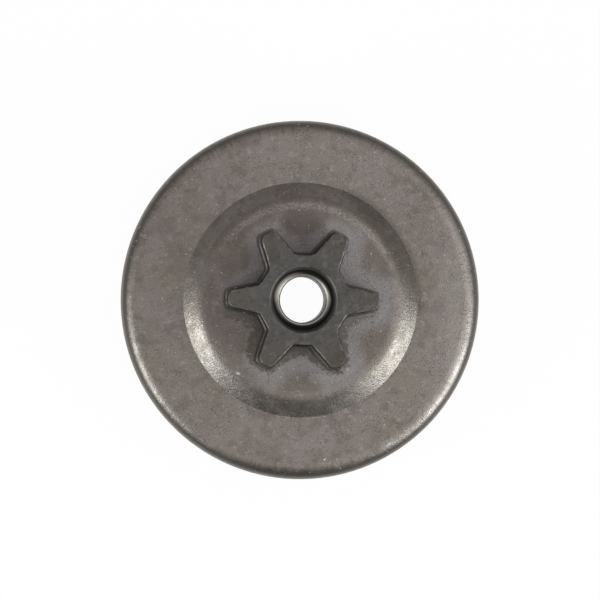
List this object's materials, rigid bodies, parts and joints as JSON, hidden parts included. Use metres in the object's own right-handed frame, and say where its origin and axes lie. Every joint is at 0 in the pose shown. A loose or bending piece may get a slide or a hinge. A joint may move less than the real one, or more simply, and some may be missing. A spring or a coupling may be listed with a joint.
{
  "type": "chainsaw clutch drum with spur sprocket",
  "caption": "Drawn-steel clutch drum with a star-shaped spur sprocket brazed on its closed face and a plain bearing bush; passes a saw engine's drive to the chain.",
  "frame": {"origin": "on the shaft's axis, in the plane of the drum's open rim, on which the part stands", "axes": "+Z along the shaft, from the open rim towards the sprocket's face; +X along one tooth"},
  "size_m": [0.072, 0.072, 0.0315],
  "materials": {
    "drawn_steel": "heat-treated sheet, dull warm grey with brown bloom",
    "hardened_steel": "hardened and tumbled, dark grey, bright on worn edges",
    "polished_steel": "polished"
  },
  "bodies": {
    "root": {"clutch_drum": "drawn_steel", "spur_sprocket": "hardened_steel", "bearing_bush": "polished_steel"}
  },
  "joints": []
}
